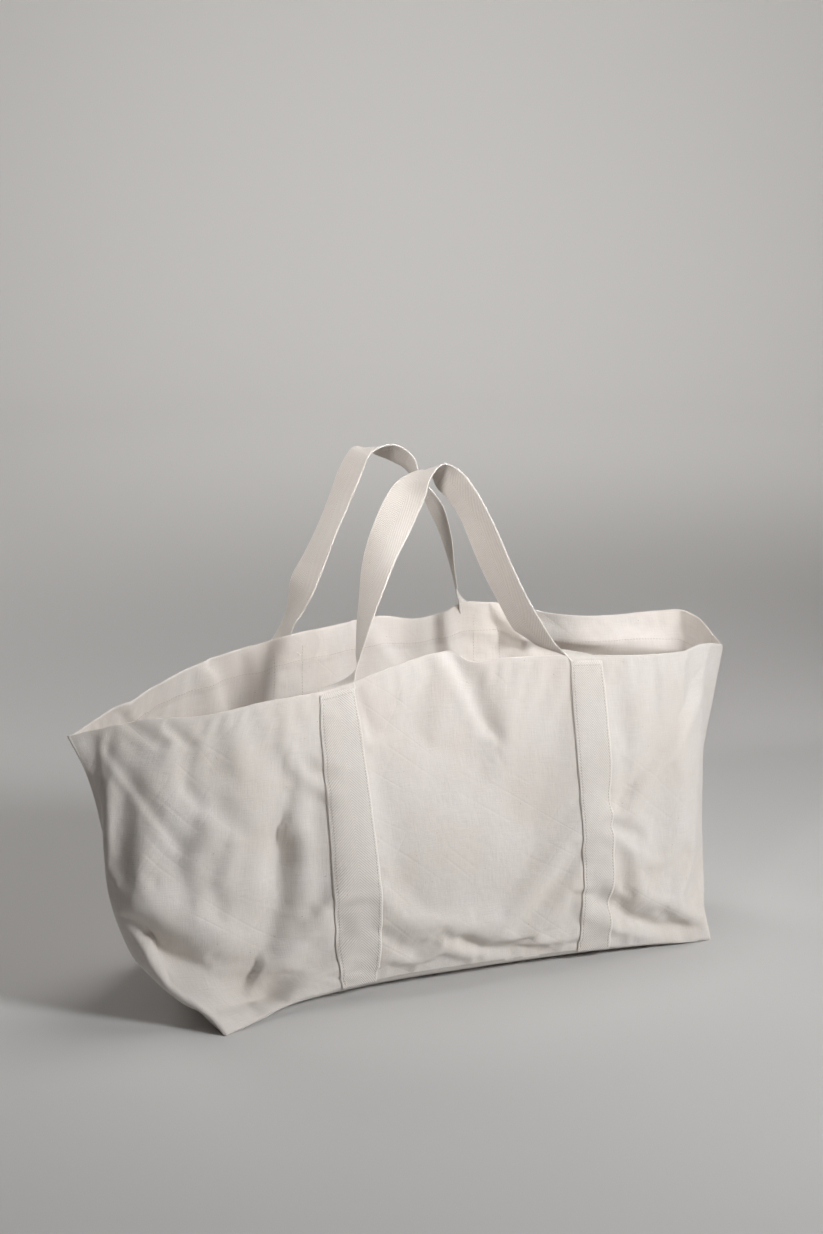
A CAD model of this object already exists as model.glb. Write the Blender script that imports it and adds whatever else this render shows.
import math

import bmesh
import bpy
import numpy as np
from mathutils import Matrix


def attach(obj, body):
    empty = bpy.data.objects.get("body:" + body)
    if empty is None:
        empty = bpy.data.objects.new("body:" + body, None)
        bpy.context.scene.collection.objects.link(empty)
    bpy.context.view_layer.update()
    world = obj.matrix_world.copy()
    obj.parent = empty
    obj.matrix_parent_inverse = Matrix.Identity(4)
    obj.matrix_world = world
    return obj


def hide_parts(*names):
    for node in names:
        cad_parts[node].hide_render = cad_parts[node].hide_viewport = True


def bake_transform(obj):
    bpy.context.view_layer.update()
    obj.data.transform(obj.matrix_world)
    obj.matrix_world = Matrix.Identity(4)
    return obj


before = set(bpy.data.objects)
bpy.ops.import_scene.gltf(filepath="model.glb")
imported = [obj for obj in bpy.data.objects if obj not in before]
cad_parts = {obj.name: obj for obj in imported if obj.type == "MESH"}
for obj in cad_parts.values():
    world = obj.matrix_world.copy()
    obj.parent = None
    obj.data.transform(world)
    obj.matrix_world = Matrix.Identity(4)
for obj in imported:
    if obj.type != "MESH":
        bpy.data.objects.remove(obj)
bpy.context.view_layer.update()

# The bag is built in millimetres, in the frame's axes, and each mesh is written in metres.
MM = 0.001

CLOTH = 1.4              # one layer of canvas
HEM_HEIGHT = 30.0        # turned edge inside the mouth
HEM_LAYER = 0.8          # what the turned edge adds to the wall
TAPE_WIDTH = 38.0
TAPE_THICK = 1.6
TAPE_LIFT = 0.2          # from the cloth to the tape's underside
STITCH_INSET = 3.0       # from the tape's edge to its long rows of stitches
PATTERN = 800.0          # wall cloth from side seam to side seam
WALL_HEIGHT = 322.0      # mean height of the slumped walls
PATTERN_HEIGHT = 320.0   # the same on the cloth's pattern, where waves and weave are laid out
LEFT_STRAP = 270.0       # strap centres, along the wall cloth
RIGHT_STRAP = 540.0

TINY = 1e-9              # keeps a division away from zero

# ---------------------------------------------------------------- shape of the slumped walls

# Each wall is a stack of loops from the bottom edge to the rim. A point is (distance along
# the cloth from the left side seam, x, y, z). The ends are square at the base and pinched
# towards the mouth; the front left bottom corner splays out and its ridge leans to the left.
FRONT_LOOPS = [
    [(0, -277, -17, 1), (90, -286, -106, 1), (122, -290, -142, 0), (130, -289, -150, 0),
     (139, -277, -146, 1), (190, -217, -122, 10), (270, -133, -103, 13), (405, 0, -96, 14),
     (540, 133, -93, 10), (615, 208, -92, 5), (664, 262, -90, 1), (678, 277, -87, 0),
     (692, 278, -72, 1), (800, 274, 15, 1)],
    [(0, -319, -22, 45), (78, -336, -78, 45), (108, -333, -110, 45), (150, -290, -122, 43),
     (190, -243, -116, 42), (270, -133, -107, 45), (405, 0, -104, 48), (540, 133, -99, 45),
     (615, 205, -96, 45), (664, 256, -89, 45), (690, 278, -70, 45), (715, 284, -46, 45),
     (800, 280, 18, 45)],
    [(0, -355, -28, 110), (70, -368, -76, 110), (100, -354, -99, 110), (140, -312, -109, 108),
     (190, -252, -107, 108), (270, -133, -107, 110), (405, 0, -107, 112), (540, 133, -103, 110),
     (615, 205, -97, 110), (664, 252, -86, 110), (695, 275, -62, 110), (720, 288, -36, 110),
     (800, 290, 20, 110)],
    [(0, -371, -30, 190), (60, -372, -63, 190), (100, -341, -82, 190), (140, -302, -89, 190),
     (190, -243, -91, 190), (270, -133, -86, 190), (405, 0, -86, 192), (540, 133, -93, 190),
     (615, 205, -89, 190), (664, 250, -77, 190), (695, 277, -54, 190), (722, 300, -25, 190),
     (800, 308, 28, 190)],
    [(0, -386, -31, 240), (65, -358, -54, 248), (122, -300, -67, 250), (190, -233, -71, 252),
     (270, -133, -64, 254), (405, -3, -64, 262), (540, 133, -81, 258), (615, 206, -77, 256),
     (664, 254, -63, 254), (700, 286, -38, 254), (735, 318, -8, 252), (800, 329, 36, 250)],
    [(0, -405, -33, 279), (75, -329, -51, 293), (122, -281, -58, 293), (190, -214, -58, 301),
     (270, -134, -46, 305), (340, -63, -41, 322), (378, -26, -45, 331), (392, -11, -50, 333),
     (408, 4, -57, 323), (440, 38, -63, 324), (540, 131, -69, 320), (615, 204, -67, 314),
     (664, 252, -54, 311), (700, 284, -36, 312), (744, 324, -9, 303), (772, 338, 12, 297),
     (800, 347, 46, 300)],
]

BACK_LOOPS = [
    [(0, -277, -17, 1), (100, -268, 80, 1), (122, -262, 104, 0), (150, -236, 112, 1),
     (270, -133, 113, 2), (405, 0, 114, 3), (540, 133, 116, 2), (650, 246, 118, 1),
     (680, 272, 114, 0), (700, 275, 95, 1), (800, 274, 15, 1)],
    [(0, -319, -22, 45), (90, -291, 70, 45), (125, -272, 98, 45), (190, -222, 112, 45),
     (270, -133, 114, 45), (405, -2, 118, 45), (540, 131, 121, 45), (640, 240, 122, 45),
     (680, 275, 110, 45), (704, 283, 88, 45), (800, 280, 18, 45)],
    [(0, -355, -28, 110), (90, -326, 46, 110), (130, -300, 80, 110), (190, -236, 100, 110),
     (270, -135, 110, 110), (405, -5, 119, 110), (540, 128, 127, 110), (640, 235, 124, 110),
     (680, 272, 108, 110), (712, 288, 80, 110), (800, 290, 20, 110)],
    [(0, -371, -30, 190), (80, -347, 24, 190), (130, -306, 54, 190), (190, -240, 80, 190),
     (270, -137, 97, 195), (405, -8, 121, 195), (540, 122, 134, 195), (640, 228, 129, 190),
     (685, 272, 112, 190), (722, 302, 82, 190), (800, 308, 28, 190)],
    [(0, -386, -31, 240), (80, -350, 24, 246), (130, -310, 46, 252), (190, -240, 72, 260),
     (270, -138, 86, 270), (405, -12, 126, 270), (540, 116, 142, 270), (640, 222, 128, 262),
     (700, 285, 108, 256), (738, 316, 82, 252), (800, 329, 36, 250)],
    [(0, -405, -33, 279), (90, -334, 20, 295), (130, -298, 40, 302), (190, -236, 68, 317),
     (270, -140, 78, 334), (335, -78, 106, 334), (405, -14, 132, 334), (452, 30, 135, 327),
     (480, 58, 147, 328), (505, 85, 147, 337), (540, 112, 142, 337), (572, 142, 136, 334),
     (602, 172, 126, 325), (660, 235, 119, 316), (704, 282, 122, 315), (738, 320, 121, 315),
     (762, 345, 111, 315), (776, 351, 88, 311), (800, 347, 46, 300)],
]


def spline_rows(knots, values, where):
    """Smooth curve through values at knots, read at where. Knots and values are arrays."""
    slopes = np.gradient(values, knots, axis=0)
    index = np.clip(np.searchsorted(knots, where, side="right") - 1, 0, len(knots) - 2)
    width = knots[index + 1] - knots[index]
    t = ((where - knots[index]) / width)[:, None]
    width = width[:, None]
    start, end = values[index], values[index + 1]
    return (start * (1 + 2 * t) * (1 - t) ** 2 + slopes[index] * width * t * (1 - t) ** 2
            + end * t * t * (3 - 2 * t) + slopes[index + 1] * width * t * t * (t - 1))


def wall_grid(loops, across, upward):
    """The wall's outer face: [row, column, xyz], at distances across and shares upward."""
    rings = []
    for loop in loops:
        table = np.array(loop, float)
        rings.append(spline_rows(table[:, 0], table[:, 1:], across))
    rings = np.array(rings)
    steps = np.linalg.norm(np.diff(rings, axis=0), axis=2).mean(axis=1)
    knots = np.concatenate([[0.0], np.cumsum(steps)]) / steps.sum()
    flat = rings.reshape(len(loops), -1)
    grid = spline_rows(knots, flat, upward)
    return grid.reshape(len(upward), len(across), 3)


def grid_normals(grid):
    """Unit normals of a grid of points, by the right hand from across to upward."""
    normal = np.cross(np.gradient(grid, axis=1), np.gradient(grid, axis=0))
    return normal / np.maximum(np.linalg.norm(normal, axis=2, keepdims=True), TINY)


def read_grid(grid, rows, columns):
    """The grid at fractional rows and columns, which broadcast together."""
    rows, columns = np.broadcast_arrays(rows, columns)
    row = np.clip(rows.astype(int), 0, grid.shape[0] - 2)
    column = np.clip(columns.astype(int), 0, grid.shape[1] - 2)
    a = (rows - row)[..., None]
    b = (columns - column)[..., None]
    return ((1 - a) * (1 - b) * grid[row, column] + a * (1 - b) * grid[row + 1, column]
            + (1 - a) * b * grid[row, column + 1] + a * b * grid[row + 1, column + 1])


# ---------------------------------------------------------------- folds pressed into the cloth

# Each fold is (points (x, z) along its valley, depth, half width, how much steeper its right
# side is as seen along the line). A negative depth is a ridge.
FRONT_FOLDS = [
    ([(-369, 265), (-340, 218), (-312, 176)], 2.2, 6, 0.3),
    ([(-356, 90), (-306, 62), (-266, 40), (-230, 24)], 19.0, 23, -0.2),
    ([(-196, 228), (-207, 150)], 5.0, 13, -0.35),
    ([(-206, 160), (-216, 112), (-232, 70)], 12.0, 22, -0.4),
    ([(-298, 190), (-316, 164), (-308, 134)], 4.0, 12, -0.2),
    ([(-268, 168), (-287, 140), (-278, 116)], 3.2, 11, -0.2),
    ([(-268, 206), (-246, 178), (-250, 150)], 3.0, 12, 0.0),
    ([(-298, 229), (-288, 214)], 2.5, 7, 0.0),
    ([(-350, 292), (-322, 270)], 2.0, 6, 0.2),
    ([(-311, 284), (-291, 267)], 2.0, 5, 0.2),
    ([(-14, 336), (8, 292), (24, 256)], 6.0, 11, 0.3),
    ([(20, 300), (60, 292), (92, 304)], 3.0, 13, 0.0),
    ([(-110, 296), (-99, 258)], 2.2, 6, 0.0),
    ([(-172, 235), (-156, 226)], 3.0, 8, 0.0),
    ([(-168, 205), (-158, 198)], 2.0, 7, 0.0),
    ([(-157, 96), (-152, 70)], 2.5, 8, 0.0),
    ([(-72, 44), (-43, 56), (2, 35), (62, 8)], 4.0, 12, 0.25),
    ([(-20, 46), (-2, 38)], 3.0, 7, 0.0),
    ([(268, 270), (216, 222), (160, 172)], 8.0, 15, -0.35),
    ([(152, 148), (180, 132)], 3.0, 9, 0.0),
    ([(136, 66), (190, 36), (244, 8)], 6.5, 12, 0.2),
    ([(214, 44), (240, 20)], 2.5, 8, 0.0),
    ([(-396, 262), (-381, 229), (-384, 172)], -3.0, 9, 0.0),
    ([(-384, 172), (-372, 120), (-349, 65)], -2.0, 9, 0.0),
    ([(-330, 236), (-296, 190), (-270, 168)], -2.0, 15, 0.0),
    ([(-250, 180), (-238, 120), (-232, 60)], -2.5, 18, 0.0),
    ([(-70, 230), (-40, 150), (-50, 80)], -2.0, 30, 0.0),
    ([(40, 214), (66, 150), (70, 90)], 1.6, 26, 0.0),
    ([(96, 250), (104, 170), (100, 60)], 1.6, 12, 0.0),
    ([(166, 250), (172, 180)], 1.6, 10, 0.0),
    ([(164, 110), (166, 40)], 2.0, 10, 0.0),
]

BACK_FOLDS = [
    ([(-330, 290), (-300, 230), (-262, 190)], 4.0, 14, 0.3),
    ([(-230, 300), (-214, 240), (-205, 180)], 4.5, 14, -0.3),
    ([(-180, 318), (-170, 260), (-176, 200)], 4.0, 11, 0.3),
    ([(-340, 130), (-290, 96), (-236, 44)], 6.5, 18, 0.3),
    ([(-90, 320), (-76, 270), (-80, 190)], 3.0, 16, 0.0),
    ([(-40, 318), (-2, 280), (28, 258)], 4.0, 15, -0.3),
    ([(62, 320), (70, 270), (66, 200)], 4.5, 10, 0.3),
    ([(150, 322), (160, 280), (176, 240)], 5.0, 12, -0.3),
    ([(-110, 70), (-60, 56), (-10, 20)], 4.5, 14, 0.2),
    ([(10, 44), (52, 60), (96, 30)], 3.5, 12, 0.0),
    ([(160, 60), (206, 40), (250, 12)], 4.5, 13, 0.2),
    ([(262, 250), (220, 206), (170, 160)], 5.5, 16, 0.3),
    ([(-30, 200), (-14, 140), (-24, 84)], 2.0, 26, 0.0),
    ([(148, 302), (182, 298), (244, 288), (300, 278), (334, 276)], 8.0, 9, 0.25),
    ([(170, 284), (244, 272), (300, 262)], -5.0, 9, 0.0),
    ([(128, 324), (148, 304), (168, 284)], 5.0, 9, 0.3),
    ([(62, 332), (66, 290)], 6.0, 14, 0.3),
]


BANK_PLACE = 1.9         # a fold's raised banks, in widths from its line
BANK_HEIGHT = 0.22       # their height as a share of the fold's depth


def fold_share(x, z, line, half_width, lean):
    """How deep each point lies in a fold: 1 on its line, below 0 on its banks, 0 far away."""
    line = np.array(line, float)
    nearest = np.full(x.shape, np.inf)
    side = np.zeros(x.shape)
    for start, end in zip(line[:-1], line[1:]):
        step = end - start
        length = np.hypot(*step)
        share = ((x - start[0]) * step[0] + (z - start[1]) * step[1]) / length ** 2
        share = np.clip(share, 0.0, 1.0)
        away_x = x - start[0] - share * step[0]
        away_z = z - start[1] - share * step[1]
        distance = np.hypot(away_x, away_z)
        closer = distance < nearest
        nearest = np.where(closer, distance, nearest)
        side = np.where(closer, np.sign(step[0] * away_z - step[1] * away_x), side)
    width = half_width * (1 + lean * side)
    valley = np.exp(-(nearest / width) ** 2)
    banks = np.exp(-((nearest - BANK_PLACE * width) / width) ** 2)
    return valley - BANK_HEIGHT * banks


def fold_depths(grid, folds):
    """How deep the folds together press each point of a wall."""
    total = np.zeros(grid.shape[:2])
    for line, depth, half_width, lean in folds:
        total += depth * fold_share(grid[..., 0], grid[..., 2], line, half_width, lean)
    return total


WAVES_EACH = 5           # waves of each length
WAVE_SCALE = 2.2         # brings their sum to about 1


def wave_noise(a, b, lengths, seed):
    """Soft seeded waves over two coordinates, one set for each wavelength, about -1 to 1."""
    random = np.random.default_rng(seed)
    total = np.zeros(np.broadcast(a, b).shape)
    for length in lengths:
        for turn in random.uniform(0, math.tau, WAVES_EACH):
            phase = random.uniform(0, math.tau)
            total += np.sin(math.tau * (a * math.cos(turn) + b * math.sin(turn)) / length + phase)
    return total / (WAVE_SCALE * len(lengths))


# ---------------------------------------------------------------- the cloth settles

SETTLE_STEPS = 18
SETTLE_MOST = 8.0                            # how far a point of the cloth may move
SPARE_CLOTH = 0.012                          # how much too large it is cut
HOLD_CLOTH = 0.12                            # how firmly the shape holds the open cloth,
HOLD_STRAP = 0.7                             # the cloth under a strap,
HOLD_EDGES = (1.0, 0.8, 0.6, 0.4, 0.25)      # and the rows from the rim or bottom edge inwards


def tube_object(ring):
    """A closed tube of cloth from [row, place round the tube, xyz]."""
    rows, around = ring.shape[:2]
    tube = bpy.data.meshes.new("settling_tube")
    index = np.arange(rows * around).reshape(rows, around)
    turned = np.roll(index, -1, axis=1)
    quads = np.stack([index[:-1], turned[:-1], turned[1:], index[1:]], axis=-1).reshape(-1, 4)
    tube.from_pydata((ring.reshape(-1, 3) * MM).tolist(), [], quads.tolist())
    cloth = bpy.data.objects.new("settling_tube", tube)
    bpy.context.scene.collection.objects.link(cloth)
    return cloth


def add_hold(cloth, rows, columns):
    """Weights for how firmly each point of the tube keeps its place."""
    along = np.linspace(0.0, PATTERN, columns)
    ring_along = np.concatenate([along, along[-2:0:-1]])
    hold = np.full((rows, len(ring_along)), HOLD_CLOTH)
    for centre in (LEFT_STRAP, RIGHT_STRAP):
        hold[:, np.abs(ring_along - centre) < TAPE_WIDTH / 2] = HOLD_STRAP
    for row, weight in enumerate(HOLD_EDGES):
        hold[row] = np.maximum(hold[row], weight)
        hold[-1 - row] = np.maximum(hold[-1 - row], weight)
    group = cloth.vertex_groups.new(name="hold")
    for number, weight in enumerate(hold.reshape(-1)):
        group.add([number], float(weight), "REPLACE")


def add_settling(cloth):
    """Blender's cloth simulation, with the behaviour of a firm canvas."""
    modifier = cloth.modifiers.new("settle", "CLOTH")
    modifier.settings.quality = 6
    modifier.settings.mass = 0.25
    modifier.settings.air_damping = 3.0
    modifier.settings.tension_stiffness = 40
    modifier.settings.compression_stiffness = 40
    modifier.settings.shear_stiffness = 15
    modifier.settings.bending_stiffness = 6.0
    modifier.settings.vertex_group_mass = "hold"
    modifier.settings.pin_stiffness = 0.35
    modifier.settings.shrink_min = -SPARE_CLOTH
    modifier.collision_settings.use_collision = False
    modifier.point_cache.frame_start = 1
    modifier.point_cache.frame_end = SETTLE_STEPS


def settle(front, back):
    """Lets both walls sag and buckle as one tube of cloth. Returns how far each point moved.

    The cloth is cut a little larger than the shape it hangs in, so the spare length buckles
    into wrinkles. Straps, the rim and the bottom edge hold it most.
    """
    rows, columns = front.shape[:2]
    ring = np.concatenate([front, back[:, -2:0:-1]], axis=1)
    cloth = tube_object(ring)
    add_hold(cloth, rows, columns)
    add_settling(cloth)
    for step in range(1, SETTLE_STEPS + 1):
        bpy.context.scene.frame_set(step)
    settled = cloth.evaluated_get(bpy.context.evaluated_depsgraph_get()).to_mesh()
    found = np.empty(ring.size)
    settled.vertices.foreach_get("co", found)
    moved = found.reshape(ring.shape) / MM - ring
    bpy.context.scene.frame_set(1)
    bpy.data.objects.remove(cloth)

    distance = np.linalg.norm(moved, axis=2, keepdims=True)
    moved *= np.minimum(1.0, SETTLE_MOST / np.maximum(distance, TINY))
    front_moved = moved[:, :columns]
    back_moved = np.concatenate([moved[:, :1], moved[:, :columns - 2:-1]], axis=1)
    return front_moved, back_moved


def refined(coarse, rows, columns):
    """A coarse grid of moves read smoothly on a finer, even grid."""
    old_rows = np.linspace(0.0, 1.0, coarse.shape[0])
    old_columns = np.linspace(0.0, 1.0, coarse.shape[1])
    taller = spline_rows(old_rows, coarse.reshape(len(old_rows), -1), rows)
    taller = taller.reshape(len(rows), len(old_columns), 3).transpose(1, 0, 2)
    wider = spline_rows(old_columns, taller.reshape(len(old_columns), -1), columns)
    return wider.reshape(len(columns), len(rows), 3).transpose(1, 0, 2)


# ---------------------------------------------------------------- the two walls

COLUMNS = 265
WALL_ROWS = 96
HEM_ROWS = 11
HEM_SHARE = HEM_HEIGHT / WALL_HEIGHT
HEM_STEP = 0.006         # share of the height in which the turned edge's step rises

across = np.linspace(0.0, PATTERN, COLUMNS)
upward = np.concatenate([np.linspace(0.0, 1 - HEM_SHARE - HEM_STEP, WALL_ROWS),
                         np.linspace(1 - HEM_SHARE, 1.0, HEM_ROWS)])

SIM_COLUMNS = 100
SIM_ROWS = 42
sim_across = np.linspace(0.0, PATTERN, SIM_COLUMNS)
sim_upward = np.linspace(0.0, 1.0, SIM_ROWS)

FLATNESS_NONE = 0.38     # how squarely the cloth faces front or back where folds begin
FLATNESS_FADE = 0.35     # and how much more until they are full
SEAM_FADE = 22.0         # folds grow over this distance from a side seam
BASE_FADE = 0.06         # and over this share of the height from the bottom edge
SWELL_HEIGHT = 0.6       # slow waves in the open cloth
SWELL_LENGTHS = (160, 75, 42)


def creased(loops, folds, outward, across, upward, seed):
    """A wall with its folds.

    Folds fade out where the wall turns round a corner, and at the side seams, where both
    walls share points.
    """
    grid = wall_grid(loops, across, upward)
    normals = grid_normals(grid)
    flatness = np.abs(normals[..., 1])
    depth = fold_depths(grid, folds) * np.clip((flatness - FLATNESS_NONE) / FLATNESS_FADE, 0, 1)
    u, v = np.meshgrid(across, upward)
    depth += SWELL_HEIGHT * wave_noise(u, v * PATTERN_HEIGHT, SWELL_LENGTHS, seed)
    fade = np.clip(np.minimum(u, PATTERN - u) / SEAM_FADE, 0, 1)
    fade = fade * np.clip(v / BASE_FADE, 0, 1)
    return grid - normals * outward * (depth * fade)[..., None]


# Ripples beside a seam: how far they reach, their wavelengths, their share of the full height,
# and how much their pattern is drawn out away from the seam.
STRAP_RIPPLE = (7.0, (17, 10), 1.0, 0.25)
HEM_RIPPLE = (9.0, (23, 12), 0.7, 0.25)
BASE_RIPPLE = (10.0, (26, 14), 0.9, 0.3)
SIDE_RIPPLE = (10.0, (24, 13), 1.0, 0.3)
RIPPLE_HEIGHT = 0.42
RIPPLE_START = 5.0       # distance over which they grow from an edge that two pieces share


def ripples(distance, along, away, kind, seed):
    """Ripples of one kind, at distances from the seam."""
    reach, lengths, share, squeeze = kind
    return share * np.exp(-distance / reach) * wave_noise(along, away * squeeze, lengths, seed)


def puckers(across, upward, seed):
    """Small ripples beside the sewn seams, which draw the cloth in."""
    u, v = np.meshgrid(across, upward)
    height = v * PATTERN_HEIGHT
    total = np.zeros(u.shape)
    for centre in (LEFT_STRAP, RIGHT_STRAP):
        for edge in (centre - TAPE_WIDTH / 2, centre + TAPE_WIDTH / 2):
            total += ripples(np.abs(u - edge), height, u, STRAP_RIPPLE, seed + int(edge))
    from_hem = np.abs(height - (PATTERN_HEIGHT - HEM_HEIGHT))
    total += ripples(from_hem, u, height, HEM_RIPPLE, seed + 5)
    growth = np.clip(height / RIPPLE_START, 0, 1)
    total += growth * ripples(height, u, height, BASE_RIPPLE, seed + 9)
    from_side = np.minimum(u, PATTERN - u)
    growth = np.clip(from_side / RIPPLE_START, 0, 1)
    total += growth * ripples(from_side, height, u, SIDE_RIPPLE, seed + 13)
    return RIPPLE_HEIGHT * total


# Seeds of the slow waves and of the ripples.
FRONT_SWELL = 3
BACK_SWELL = 4
FRONT_PUCKER = 21
BACK_PUCKER = 22

front_wall = creased(FRONT_LOOPS, FRONT_FOLDS, 1, across, upward, FRONT_SWELL)
back_wall = creased(BACK_LOOPS, BACK_FOLDS, -1, across, upward, BACK_SWELL)
front_start = creased(FRONT_LOOPS, FRONT_FOLDS, 1, sim_across, sim_upward, FRONT_SWELL)
back_start = creased(BACK_LOOPS, BACK_FOLDS, -1, sim_across, sim_upward, BACK_SWELL)
front_moved, back_moved = settle(front_start, back_start)
shares = across / PATTERN
front_wall = front_wall + refined(front_moved, upward, shares)
back_wall = back_wall + refined(back_moved, upward, shares)
front_puckers = puckers(across, upward, FRONT_PUCKER)[..., None]
back_puckers = puckers(across, upward, BACK_PUCKER)[..., None]
front_wall = front_wall - grid_normals(front_wall) * front_puckers
back_wall = back_wall + grid_normals(back_wall) * back_puckers
for wall in (front_wall, back_wall):
    wall[..., 2] = np.maximum(wall[..., 2], 0.0)
front_out = grid_normals(front_wall)
back_out = -grid_normals(back_wall)


# ---------------------------------------------------------------- meshes

def add_piece(name, points, faces, material, cloth=None):
    """A smooth-shaded mesh from points in mm. cloth holds each point's place on the flat cloth."""
    mesh = bpy.data.meshes.new(name)
    mesh.from_pydata((np.asarray(points) * MM).tolist(), [], [tuple(face) for face in faces])
    if cloth is not None:
        place = mesh.attributes.new("cloth", "FLOAT_VECTOR", "POINT")
        place.data.foreach_set("vector", np.ascontiguousarray(cloth, np.float32).reshape(-1))
    work = bmesh.new()
    work.from_mesh(mesh)
    bmesh.ops.recalc_face_normals(work, faces=work.faces)
    work.to_mesh(mesh)
    work.free()
    mesh.polygons.foreach_set("use_smooth", [True] * len(mesh.polygons))
    mesh.materials.append(material)
    piece = bpy.data.objects.new(name, mesh)
    bpy.context.scene.collection.objects.link(piece)
    return piece


def grid_faces(index, closed=False):
    """Quads between neighbouring rows and columns of an index grid."""
    if closed:
        index = np.concatenate([index, index[:1]])
    return np.stack([index[:-1, :-1], index[:-1, 1:], index[1:, 1:], index[1:, :-1]],
                    axis=-1).reshape(-1, 4).tolist()


def sheet_faces(index, rows):
    """Faces of a closed sheet. index has the rows of one face, any rows round the edge and the
    rows of the other face; rows counts those of one face.
    """
    faces = grid_faces(index, closed=True)
    for column in (0, -1):
        rim = index[rows - 1:len(index) - rows + 1, column]
        if len(rim) > 2:
            faces.append(rim.tolist())
        for row in range(rows - 1):
            far = len(index) - 1 - row
            faces.append([index[row, column], index[row + 1, column],
                          index[far - 1, column], index[far, column]])
    return faces


def inner_face(wall, out):
    """The wall's inner face, and its thickness in each row: more where the edge is turned in."""
    thick = np.where(np.arange(len(upward)) >= WALL_ROWS, CLOTH + HEM_LAYER, CLOTH)
    return wall - out * thick[:, None, None], thick


RIM_ANGLES = (35, 70, 110, 145)     # points round the rim's edge, in degrees


def wall_piece(name, wall, out, material):
    """The wall as a closed solid: outer face, rounded rim, thicker turned edge, inner face."""
    inner, thick = inner_face(wall, out)
    rise = wall[-1] - wall[-2]
    rise /= np.linalg.norm(rise, axis=1, keepdims=True)
    middle = (wall[-1] + inner[-1]) / 2
    radius = thick[-1] / 2
    bend = []
    for angle in RIM_ANGLES:
        turn = math.radians(angle)
        bend.append(middle + radius * (math.cos(turn) * out[-1] + math.sin(turn) * rise))
    loop = np.concatenate([wall, np.array(bend), inner[::-1]])
    u, v = np.meshgrid(across, upward * PATTERN_HEIGHT)
    flat = np.stack([u, v, np.zeros(u.shape)], axis=-1)
    cloth = np.concatenate([flat, np.repeat(flat[-1:], len(bend), axis=0), flat[::-1]])
    index = np.arange(len(loop) * COLUMNS).reshape(len(loop), COLUMNS)
    faces = sheet_faces(index, len(wall))
    return add_piece(name, loop.reshape(-1, 3), faces, material, cloth.reshape(-1, 3))


BASE_ROWS = 40
BASE_EDGE = 14.0         # over which the bottom cloth follows the walls' uneven bottom edges


def base_piece(name, material):
    """The bottom cloth, between the walls' bottom edges. It lies flat except near them."""
    front_edge, back_edge = front_wall[0], back_wall[0]
    share = np.linspace(0.0, 1.0, BASE_ROWS)[:, None, None]
    lower = front_edge * (1 - share) + back_edge * share
    widths = np.linalg.norm(back_edge - front_edge, axis=1)
    from_edge = np.minimum(share, 1 - share)[..., 0] * widths
    lower[..., 2] *= np.exp(-from_edge / BASE_EDGE)
    upper = lower + np.array([0.0, 0.0, CLOTH])
    loop = np.concatenate([lower, upper[::-1]])
    index = np.arange(len(loop) * COLUMNS).reshape(len(loop), COLUMNS)
    faces = sheet_faces(index, BASE_ROWS)
    return add_piece(name, loop.reshape(-1, 3), faces, material, loop.reshape(-1, 3))


# ---------------------------------------------------------------- webbing

# Where each loop of tape goes between its two straps. At each station: x, y, z of the tape's
# middle, the heading in degrees of its outer edge from its inner edge, and how far that edge
# tips up. The tape leaves the strap flat, then twists its edge to the wall.
FRONT_LOOP = [
    (-132, -45, 303, 174, 0.0), (-127, -32, 304, 135, -0.25), (-113, -22, 306, 95, -0.3),
    (-104, -20, 313, 71, -0.25), (-98, -17, 334, 76, 0.0), (-92, -14, 360, 88, 0.0),
    (-86, -13, 383, 99, 0.0), (-77, -11, 415, 120, 0.0), (-71, -10, 432, 130, 0.0),
    (-58, -9, 459, 150, 0.0), (-49, -8, 476, 150, 0.0),
    (-36, -7, 496, 131, 0.0), (-26, -6, 507, 114, -0.15), (-8, -5, 515, 108, -0.3),
    (4, -6, 503, 119, -0.5), (18, -8, 486, 117, -0.5), (31, -10, 465, 117, -0.35),
    (43, -13, 437, 127, 0.0), (57, -16, 404, 127, 0.0), (70, -20, 377, 124, 0.0),
    (82, -27, 352, 123, 0.0), (94, -38, 334, 116, 0.0), (103, -48, 325, 106, 0.0),
    (121, -54, 319, 62, 0.0), (132, -66, 315, 16, 0.0),
]
BACK_LOOP = [
    (-142, 93, 313, 140, 0.0), (-138, 101, 327, 97, 0.0), (-134, 98, 341, 87, 0.0),
    (-127, 92, 360, 97, 0.0),
    (-122, 85, 384, 115, 0.0), (-107, 87, 412, 110, 0.0), (-92, 89, 442, 103, 0.0),
    (-76, 91, 475, 106, 0.0), (-63, 93, 503, 108, 0.0), (-50, 94, 522, 105, 0.0),
    (-25, 96, 521, 84, -0.5), (-1, 98, 507, 84, -0.45), (8, 100, 495, 89, 0.0),
    (23, 103, 477, 92, 0.0), (35, 107, 460, 98, 0.0), (44, 111, 442, 94, 0.0),
    (53, 116, 421, 86, 0.0), (62, 124, 395, 77, 0.0), (71, 135, 374, 72, 0.0),
    (80, 148, 355, 68, 0.0), (87, 155, 342, 66, 0.0), (96, 158, 329, 48, 0.0),
    (106, 155, 315, 20, 0.0),
]

LOOP_TURN = 4            # stations at each end of a loop where the tape is folding over
LOOP_STEP = 2.6          # from one row of a loop's mesh to the next
LOOP_CLEAR = (2.0, 1.0)  # what a loop leaves free of the straps, at its start and its end
LOOP_SMOOTHING = 2
STRAP_ROWS = 96
TAPE_EDGE = TAPE_WIDTH / 2

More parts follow.
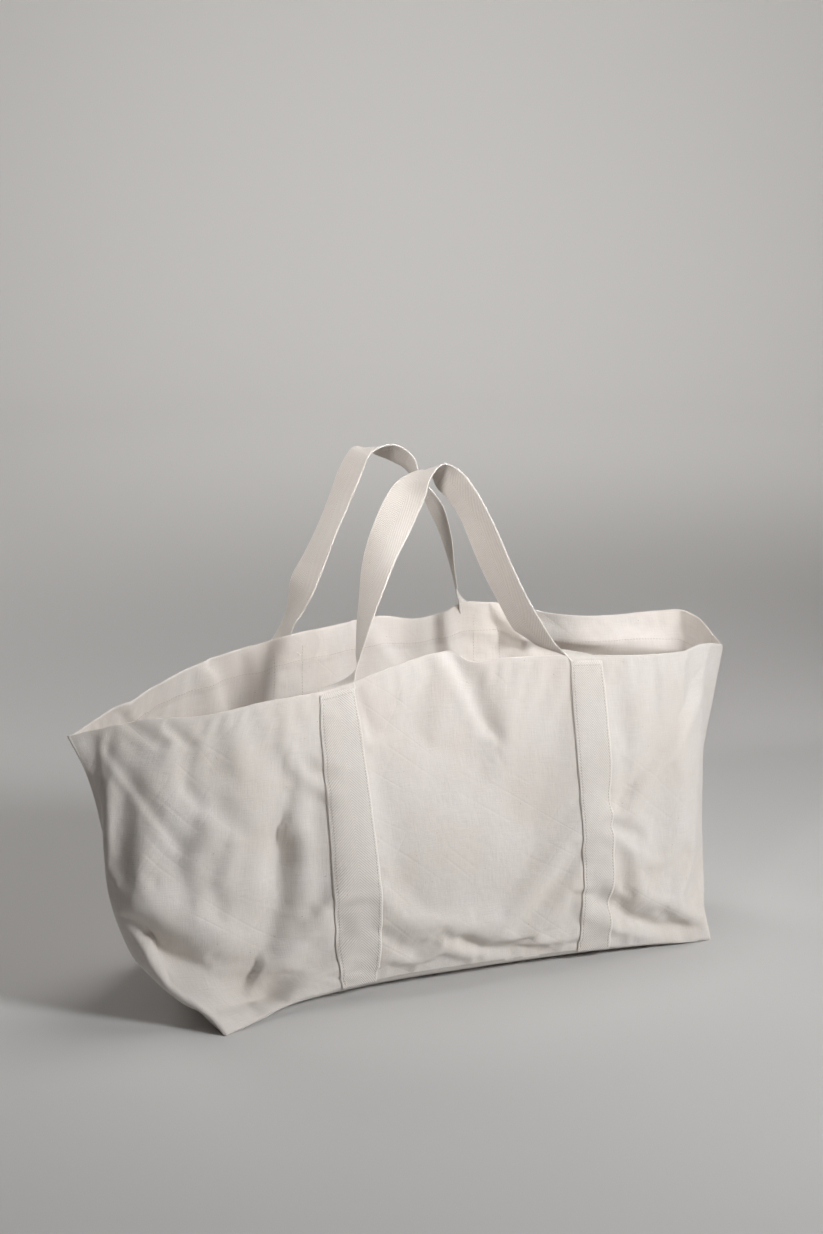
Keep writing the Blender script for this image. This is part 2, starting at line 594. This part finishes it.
# Points across the tape, as shares of its half width, and its thickness there, which rounds
# the edges.
TAPE_SHARES = [-1, -0.975, -0.9, -0.65, -0.33, 0, 0.33, 0.65, 0.9, 0.975, 1]
TAPE_STATIONS = np.array(TAPE_SHARES) * TAPE_EDGE
TAPE_FULLNESS = np.array([0.3, 0.8, 1, 1, 1, 1, 1, 1, 1, 0.8, 0.3])
TAPE_MIDDLE = TAPE_SHARES.index(0)


def sewn_tape(wall, out, centre, outer_is_left, shares):
    """Middle surface of a sewn strap: [share up the wall, station from inner to outer edge]."""
    turn = -1 if outer_is_left else 1
    columns = (centre + turn * TAPE_STATIONS) / PATTERN * (COLUMNS - 1)
    rows = np.interp(shares, upward, np.arange(len(upward)))[:, None]
    surface = read_grid(wall, rows, columns[None, :])
    away = read_grid(out, rows, columns[None, :])
    away /= np.linalg.norm(away, axis=2, keepdims=True)
    return surface + away * (TAPE_LIFT + TAPE_THICK / 2)


def tape_surface(wall, out, route, drop):
    """Middle surface of a strap, its loop and the other strap, and where the straps end.

    drop is how far under the rim the sewn straps end.
    """
    top = 1 - drop / WALL_HEIGHT
    shares = np.linspace(0.0, top, STRAP_ROWS)
    left = sewn_tape(wall, out, LEFT_STRAP, True, shares)
    right = sewn_tape(wall, out, RIGHT_STRAP, False, shares)[::-1]
    table = np.array(route, float)
    middle = table[:, :3]
    through = np.concatenate([left[-1:, TAPE_MIDDLE], middle, right[:1, TAPE_MIDDLE]])
    along = through[2:] - through[:-2]
    along /= np.linalg.norm(along, axis=1, keepdims=True)
    heading = np.radians(table[:, 3])
    width = np.stack([np.cos(heading), np.sin(heading), table[:, 4]], axis=1)
    square = width - along * (along * width).sum(axis=1, keepdims=True)
    width[LOOP_TURN:-LOOP_TURN] = square[LOOP_TURN:-LOOP_TURN]
    width /= np.linalg.norm(width, axis=1, keepdims=True)
    free = middle[:, None, :] + width[:, None, :] * TAPE_STATIONS[None, :, None]
    # The curve also passes a place a little way down each strap, so that it leaves the strap
    # in line.
    before = left[-5:-3].mean(axis=0)[None]
    after = right[3:5].mean(axis=0)[None]
    control = np.concatenate([before, left[-1:], free, right[:1], after])
    gaps = np.linalg.norm(np.diff(control[:, TAPE_MIDDLE], axis=0), axis=1)
    knots = np.concatenate([[0.0], np.cumsum(np.maximum(gaps, 1.0))])
    steps = np.arange(knots[1] + LOOP_CLEAR[0], knots[-2] - LOOP_CLEAR[1], LOOP_STEP)
    loop = spline_rows(knots, control.reshape(len(knots), -1), steps).reshape(len(steps), -1, 3)
    for _ in range(LOOP_SMOOTHING):
        loop[1:-1] = (loop[:-2] + 2 * loop[1:-1] + loop[2:]) / 4
    return np.concatenate([left, loop, right]), len(left), len(left) + len(loop)


def tape_piece(name, surface, facing, material):
    """A closed tape round its middle surface. facing is +1 where its face is to the right hand."""
    away = np.cross(np.gradient(surface, axis=0), np.gradient(surface, axis=1)) * facing
    away /= np.maximum(np.linalg.norm(away, axis=2, keepdims=True), TINY)
    half = away * (TAPE_THICK / 2) * TAPE_FULLNESS[None, :, None]
    loop = np.concatenate([surface + half, (surface - half)[:, ::-1]], axis=1)
    length = np.linalg.norm(np.diff(surface[:, TAPE_MIDDLE], axis=0), axis=1)
    length = np.concatenate([[0.0], np.cumsum(length)])
    place = np.concatenate([TAPE_STATIONS, TAPE_STATIONS[::-1]])
    s, w = np.meshgrid(length, place, indexing="ij")
    cloth = np.stack([w, s, np.zeros(s.shape)], axis=-1)
    index = np.arange(loop.shape[0] * loop.shape[1]).reshape(loop.shape[:2])
    faces = grid_faces(index.T, closed=True)
    for row in (0, -1):
        faces.append(index[row].tolist())
    piece = add_piece(name, loop.reshape(-1, 3), faces, material, cloth.reshape(-1, 3))
    return piece, away


# ---------------------------------------------------------------- stitches

STITCH_PITCH = 3.4
STITCH_LENGTH = 2.7
STITCH_RADIUS = 0.36
STITCH_FLAT = 0.8        # its height as a share of its width
STITCH_SIDES = 5
STITCH_STOPS = np.array([0.0, 0.22, 0.78, 1.0])     # rings along one stitch, as shares of it,
STITCH_SIZES = (0.5, 1, 1, 0.5)                     # their sizes,
STITCH_HEIGHTS = (-0.3, 0.12, 0.12, -0.3)           # and their heights over the cloth
STITCH_PLACES = (STITCH_INSET - TAPE_EDGE, TAPE_EDGE - STITCH_INSET)
ROW_ENDS = 5             # columns left free of the turned edge's row at each side seam


def stitch_piece(name, rows, material):
    """Rows of separate stitches. A row is (points, normals) along a seam."""
    points, faces = [], []
    angles = np.arange(STITCH_SIDES) * math.tau / STITCH_SIDES
    ring = [(math.cos(a), math.sin(a)) for a in angles]
    for line, away in rows:
        gaps = np.linalg.norm(np.diff(line, axis=0), axis=1)
        run = np.concatenate([[0.0], np.cumsum(gaps)])
        for start in np.arange(STITCH_PITCH / 2, run[-1] - STITCH_PITCH, STITCH_PITCH):
            first = len(points)
            stops = start + STITCH_LENGTH * STITCH_STOPS
            spots = np.stack([np.interp(stops, run, line[:, k]) for k in range(3)], axis=1)
            up = np.array([np.interp(start, run, away[:, k]) for k in range(3)])
            side = np.cross(spots[-1] - spots[0], up)
            side /= np.linalg.norm(side)
            for spot, size, height in zip(spots, STITCH_SIZES, STITCH_HEIGHTS):
                for a, b in ring:
                    around = side * a * size + up * (b * size * STITCH_FLAT)
                    points.append(spot + up * height + around * STITCH_RADIUS)
            rings = np.arange(first, len(points)).reshape(-1, STITCH_SIDES).T
            faces += grid_faces(rings, closed=True)
            faces += [rings[:, 0].tolist(), rings[:, -1].tolist()]
    spots = np.array(points)
    return add_piece(name, spots, faces, material, spots)


def strap_rows_inside(wall, out):
    """Where the long rows of both straps come through to the inner face."""
    inner, _ = inner_face(wall, out)
    sewn = slice(2, -3)      # rows of the wall, free of the bottom edge and the rim
    rows = []
    for centre in (LEFT_STRAP, RIGHT_STRAP):
        for place in STITCH_PLACES:
            column = int(round((centre + place) / PATTERN * (COLUMNS - 1)))
            rows.append((inner[sewn, column], -out[sewn, column]))
    return rows


def strap_rows(surface, away, left_end, right_start):
    """Stitch rows round both sewn straps of one side: two long rows and one across the top."""
    face = surface + away * (TAPE_THICK / 2)
    left_top = left_end - 2
    right_top = right_start + 1
    rows = []
    for first, last, top in ((1, left_top, left_top), (right_top, len(surface) - 1, right_top)):
        for place in STITCH_PLACES:
            share = np.interp(place, TAPE_STATIONS, np.arange(len(TAPE_STATIONS)))
            low = int(share)
            mix = share - low
            line = face[first:last, low] * (1 - mix) + face[first:last, low + 1] * mix
            rows.append((line, away[first:last, low]))
        inside = slice(2, -2)        # stations, free of the tape's rounded edges
        rows.append((face[top, inside], away[top, inside]))
    return rows


def hem_rows(wall, out):
    """The row that holds the turned edge, on the inner face."""
    row = WALL_ROWS + 1      # the turned edge's second row of points
    line = wall[row] - out[row] * (CLOTH + HEM_LAYER)
    return [(line[ROW_ENDS:-ROW_ENDS], -out[row, ROW_ENDS:-ROW_ENDS])]


# ---------------------------------------------------------------- materials

def make(tree, kind, values=None, **settings):
    """Adds a shader node. values gives each input socket a number, a colour or a link."""
    node = tree.nodes.new(kind)
    for key, value in settings.items():
        setattr(node, key, value)
    for socket, value in (values or {}).items():
        if isinstance(value, bpy.types.NodeSocket):
            tree.links.new(value, node.inputs[socket])
        else:
            node.inputs[socket].default_value = value
    return node


def maths(tree, operation, first, second=None):
    """One operation on one or two numbers or sockets."""
    values = {0: first}
    if second is not None:
        values[1] = second
    return make(tree, "ShaderNodeMath", values, operation=operation).outputs[0]


def ranged(tree, value, low, high, to_low, to_high):
    """A value from low to high brought to the range from to_low to to_high."""
    values = {"Value": value, "From Min": low, "From Max": high,
              "To Min": to_low, "To Max": to_high}
    return make(tree, "ShaderNodeMapRange", values).outputs["Result"]


def mixed(tree, factor, first, second):
    """A colour between first and second."""
    node = make(tree, "ShaderNodeMix", {0: factor, 6: first, 7: second}, data_type="RGBA")
    return node.outputs[2]


def stretched_noise(tree, place, scale, detail=3.0):
    """Noise over the flat cloth; scale gives its features per mm across and along."""
    vector = make(tree, "ShaderNodeVectorMath", {0: place, 1: (scale[0], scale[1], 1.0)},
                  operation="MULTIPLY").outputs[0]
    noise = make(tree, "ShaderNodeTexNoise", {"Vector": vector, "Scale": 1.0, "Detail": detail})
    return noise.outputs["Fac"]


THREAD_SCALE = 1.3       # features per mm across a thread
SLUB_SCALE = 0.05        # and along it
MOTTLE_SCALE = 0.018
GAP_SHADE = 0.80         # how light the cloth is in its gaps
FLECK_CELLS = 0.11       # seed flecks: at most one in each cell of the flat cloth
FLECK_SIZE = 0.045
FLECK_STRENGTH = 0.55
FLECK_COLOUR = (0.20, 0.13, 0.07, 1.0)


def cotton(name, colour, shade, fleck_share):
    """Cotton with slubs, mottling and seed flecks. Returns its parts so a weave can be added."""
    material = bpy.data.materials.new(name)
    material.use_nodes = True
    tree = material.node_tree
    shader = tree.nodes["Principled BSDF"]
    shader.inputs["Specular IOR Level"].default_value = 0.25
    shader.inputs["Sheen Weight"].default_value = 0.22
    shader.inputs["Sheen Roughness"].default_value = 0.55
    place = make(tree, "ShaderNodeAttribute", attribute_name="cloth").outputs["Vector"]
    warp = stretched_noise(tree, place, (THREAD_SCALE, SLUB_SCALE))
    weft = stretched_noise(tree, place, (SLUB_SCALE, THREAD_SCALE))
    slubs = maths(tree, "MULTIPLY", maths(tree, "ADD", warp, weft), 0.5)
    mottle = stretched_noise(tree, place, (MOTTLE_SCALE, MOTTLE_SCALE), 5.0)
    tone = mixed(tree, ranged(tree, mottle, 0.35, 0.65, 0.0, 1.0), colour, shade)
    gaps = tuple(GAP_SHADE * c for c in shade[:3]) + (1.0,)
    tone = mixed(tree, ranged(tree, slubs, 0.38, 0.62, 0.35, 0.0), tone, gaps)
    cells = make(tree, "ShaderNodeTexVoronoi", {"Vector": place, "Scale": FLECK_CELLS})
    specks = maths(tree, "LESS_THAN", cells.outputs["Distance"], FLECK_SIZE)
    chance = make(tree, "ShaderNodeSeparateColor", {0: cells.outputs["Color"]}).outputs[0]
    specks = maths(tree, "MULTIPLY", specks, maths(tree, "LESS_THAN", chance, fleck_share))
    tone = mixed(tree, maths(tree, "MULTIPLY", specks, FLECK_STRENGTH), tone, FLECK_COLOUR)
    return material, tree, shader, place, slubs, tone


def finish_cotton(tree, shader, tone, height, distance, crumple=None):
    """Gives the shader its colour, roughness and relief.

    The weave's relief is distance deep, in metres. crumple is the height of larger creases.
    """
    tree.links.new(tone, shader.inputs["Base Color"])
    bump = make(tree, "ShaderNodeBump", {"Height": height, "Strength": 0.5, "Distance": distance})
    if crumple is not None:
        bump = make(tree, "ShaderNodeBump", {"Height": crumple, "Strength": 0.7,
                                             "Distance": 0.0016,
                                             "Normal": bump.outputs["Normal"]})
    tree.links.new(bump.outputs["Normal"], shader.inputs["Normal"])
    rough = ranged(tree, height, 0.2, 0.8, 0.93, 0.82)
    tree.links.new(rough, shader.inputs["Roughness"])


WEAVE_PITCH = 1.2
WEAVE_RELIEF = 0.3       # heights of the weave and of its slubs, against each other
SLUB_RELIEF = 1.3


def canvas_material():
    """Plain weave, with crumples."""
    colour = (0.770, 0.722, 0.680, 1.0)
    shade = (0.740, 0.680, 0.624, 1.0)
    material, tree, shader, place, slubs, tone = cotton("canvas_weave", colour, shade, 0.5)
    spread = make(tree, "ShaderNodeSeparateXYZ", {0: place})
    turns = math.tau / WEAVE_PITCH
    warp = maths(tree, "SINE", maths(tree, "MULTIPLY", spread.outputs[0], turns))
    weft = maths(tree, "SINE", maths(tree, "MULTIPLY", spread.outputs[1], turns))
    weave = ranged(tree, maths(tree, "MULTIPLY", warp, weft), -1.0, 1.0, 0.0, 1.0)
    height = maths(tree, "ADD", maths(tree, "MULTIPLY", weave, WEAVE_RELIEF),
                   maths(tree, "MULTIPLY", slubs, SLUB_RELIEF))
    finish_cotton(tree, shader, tone, height, 0.0006, crumple_height(tree, place))
    return material


CREASE_SLANTS = (0.6, -0.9)      # in radians
CREASE_DEPTH = 0.16
CREASE_WIDTH = 0.05              # in units of the noise that draws them


def crumple_height(tree, place):
    """Soft dents, and thin straight creases along two slants where the cloth was folded."""
    height = stretched_noise(tree, place, (0.045, 0.04), 4.0)
    patches = stretched_noise(tree, place, (0.011, 0.014), 1.0)
    patches = ranged(tree, patches, 0.48, 0.60, 0.0, 1.0)
    for slant in CREASE_SLANTS:
        turned = make(tree, "ShaderNodeVectorRotate", {"Vector": place, "Angle": slant}).outputs[0]
        noise = stretched_noise(tree, turned, (0.045, 0.005), 0.0)
        away = maths(tree, "ABSOLUTE", maths(tree, "SUBTRACT", noise, 0.5))
        crease = ranged(tree, away, 0.0, CREASE_WIDTH, CREASE_DEPTH, 0.0)
        height = maths(tree, "SUBTRACT", height, maths(tree, "MULTIPLY", crease, patches))
    return height


RIB_PITCH = 2.8
RIB_SLOPE = 1.25         # how far a rib climbs for each mm from the tape's middle
SELVAGE = 17.6           # from the tape's middle to its plain edge
RIB_GAP_COLOUR = (0.52, 0.46, 0.40, 1.0)
TAPE_SLUB_RELIEF = 0.5


def webbing_material():
    """Herringbone tape: ribs that climb from the middle to both edges."""
    colour = (0.870, 0.820, 0.770, 1.0)
    shade = (0.835, 0.780, 0.725, 1.0)
    material, tree, shader, place, slubs, tone = cotton("webbing_herringbone", colour, shade, 0.3)
    spread = make(tree, "ShaderNodeSeparateXYZ", {0: place})
    from_middle = maths(tree, "ABSOLUTE", spread.outputs[0])
    climb = maths(tree, "MULTIPLY", from_middle, RIB_SLOPE)
    climb = maths(tree, "ADD", spread.outputs[1], climb)
    ribs = maths(tree, "SINE", maths(tree, "MULTIPLY", climb, math.tau / RIB_PITCH))
    ribs = ranged(tree, ribs, -1.0, 1.0, 0.0, 1.0)
    selvage = maths(tree, "GREATER_THAN", from_middle, SELVAGE)
    height = maths(tree, "MAXIMUM", ribs, selvage)
    tone = mixed(tree, ranged(tree, height, 0.0, 0.6, 0.55, 0.0), tone, RIB_GAP_COLOUR)
    height = maths(tree, "ADD", height, maths(tree, "MULTIPLY", slubs, TAPE_SLUB_RELIEF))
    finish_cotton(tree, shader, tone, height, 0.0010)
    return material


def thread_material():
    """Twisted cotton thread."""
    colour = (0.62, 0.56, 0.49, 1.0)
    shade = (0.55, 0.49, 0.42, 1.0)
    material, tree, shader, place, _, tone = cotton("cotton_thread", colour, shade, 0.0)
    twist = make(tree, "ShaderNodeTexWave", {"Vector": place, "Scale": 0.9, "Distortion": 1.5})
    finish_cotton(tree, shader, tone, twist.outputs["Fac"], 0.0002)
    return material


def floor_material():
    """Plain and pale, with a faint variation."""
    material = bpy.data.materials.new("pale_floor")
    material.use_nodes = True
    tree = material.node_tree
    shader = tree.nodes["Principled BSDF"]
    shader.inputs["Roughness"].default_value = 0.8
    noise = make(tree, "ShaderNodeTexNoise", {"Scale": 1.2, "Detail": 4.0})
    tone = mixed(tree, noise.outputs["Fac"], (0.650, 0.640, 0.628, 1.0), (0.680, 0.670, 0.658, 1.0))
    tree.links.new(tone, shader.inputs["Base Color"])
    return material


# ---------------------------------------------------------------- the bag

canvas = canvas_material()
webbing = webbing_material()
thread = thread_material()

front_canvas = wall_piece("front_canvas", front_wall, front_out, canvas)
back_canvas = wall_piece("back_canvas", back_wall, back_out, canvas)
base_canvas = base_piece("base_canvas", canvas)

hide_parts("front_panel", "front_hem")
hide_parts("back_panel", "back_hem")
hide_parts("base_panel")
for piece in (front_canvas, back_canvas, base_canvas):
    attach(piece, "root")

SIDES = [
    # name, wall, outward normals, loop, how far under the rim the sewn straps end, and which
    # way the tape's face looks
    ("front", front_wall, front_out, FRONT_LOOP, 5.0, 1),
    ("back", back_wall, back_out, BACK_LOOP, 24.0, -1),
]
for side, wall, out, route, drop, facing in SIDES:
    surface, left_end, right_start = tape_surface(wall, out, route, drop)
    tape, away = tape_piece(side + "_webbing", surface, facing, webbing)
    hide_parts(side + "_left_strap", side + "_right_strap", side + "_handle")
    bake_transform(tape)

    rows = strap_rows(surface, away, left_end, right_start) + strap_rows_inside(wall, out)
    seams = stitch_piece(side + "_strap_stitches", rows, thread)
    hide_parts(side + "_left_strap_stitching", side + "_right_strap_stitching")
    hem = stitch_piece(side + "_hem_stitches", hem_rows(wall, out), thread)
    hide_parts(side + "_hem_stitching")
    for piece in (seams, hem):
        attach(piece, "root")


# ---------------------------------------------------------------- floor, light and camera

FLOOR_SIDES = 96
FLOOR_BENDS = 12


def add_floor(radius, bend, height):
    """A round pale floor that sweeps up into a wall, sizes in metres."""
    profile = [(share * radius, 0.0) for share in (0.25, 0.5, 0.75, 1.0)]
    for turn in np.linspace(0.0, math.pi / 2, FLOOR_BENDS)[1:]:
        profile.append((radius + bend * math.sin(turn), bend * (1 - math.cos(turn))))
    profile.append((radius + bend, height))
    angles = np.arange(FLOOR_SIDES) * math.tau / FLOOR_SIDES
    points = [(0.0, 0.0, 0.0)]
    for out, up in profile:
        points += [(out * math.cos(a) / MM, out * math.sin(a) / MM, up / MM) for a in angles]
    index = np.arange(len(profile) * len(angles)).reshape(len(profile), len(angles)) + 1
    faces = grid_faces(np.concatenate([index, index[:, :1]], axis=1))
    faces += [[0, int(a), int(b)] for a, b in zip(index[0], np.roll(index[0], -1))]
    add_piece("floor", points, faces, floor_material())


def add_light(name, place, target, size, power, colour, spread):
    """A round soft light at a place, aimed at a target."""
    data = bpy.data.lights.new(name, "AREA")
    data.spread = math.radians(spread)
    data.shape = "DISK"
    data.size = size
    data.energy = power
    data.color = colour
    light = bpy.data.objects.new(name, data)
    bpy.context.scene.collection.objects.link(light)
    light.location = place
    aim = np.array(target) - np.array(place)
    yaw = math.atan2(-aim[0], aim[1])
    pitch = math.atan2(np.hypot(aim[0], aim[1]), -aim[2])
    light.rotation_euler = (pitch, 0.0, yaw)


BAG_MIDDLE = (0.0, 0.0, 0.2)
BLUISH = (0.98, 1.0, 1.02)
WARM = (1.0, 0.985, 0.975)
WIDE = 180.0

LIGHTS = [
    # name, place, target, size, power, colour, spread in degrees
    ("key", (1.45, -1.85, 1.35), (0.08, -0.05, 0.36), 0.7, 7.7, BLUISH, 70.0),
    ("front", (1.0, -2.5, 1.4), BAG_MIDDLE, 1.2, 1.5, (1.0, 0.985, 0.98), WIDE),
    ("above", (0.5, 0.4, 2.4), BAG_MIDDLE, 1.2, 16.0, WARM, WIDE),
    ("behind", (-1.2, 2.3, 1.7), BAG_MIDDLE, 1.4, 14.0, WARM, WIDE),
    ("handles", (-1.1, -1.2, 1.2), (-0.06, -0.02, 0.51), 0.35, 0.46, (1.0, 0.98, 0.965), 22.0),
    ("backdrop", (1.2, 2.4, 3.6), (2.0, 5.2, 0.5), 2.4, 56.0, (1.0, 0.99, 0.98), 120.0),
]

add_floor(radius=4.5, bend=1.5, height=4.5)
for light in LIGHTS:
    add_light(*light)

world = bpy.data.worlds.new("studio")
world.use_nodes = True
background = world.node_tree.nodes["Background"]
background.inputs["Color"].default_value = (0.66, 0.62, 0.57, 1.0)
background.inputs["Strength"].default_value = 0.07
bpy.context.scene.world = world
bpy.context.scene.view_settings.view_transform = "Standard"

lens = bpy.data.cameras.new("camera")
lens.lens = 70.0
lens.sensor_width = 36.0
lens.dof.use_dof = False
camera = bpy.data.objects.new("camera", lens)
camera.location = (-0.950, -2.223, 0.872)
camera.rotation_euler = (math.radians(78.0), 0.0, math.radians(-22.4))
bpy.context.scene.collection.objects.link(camera)
bpy.context.scene.camera = camera
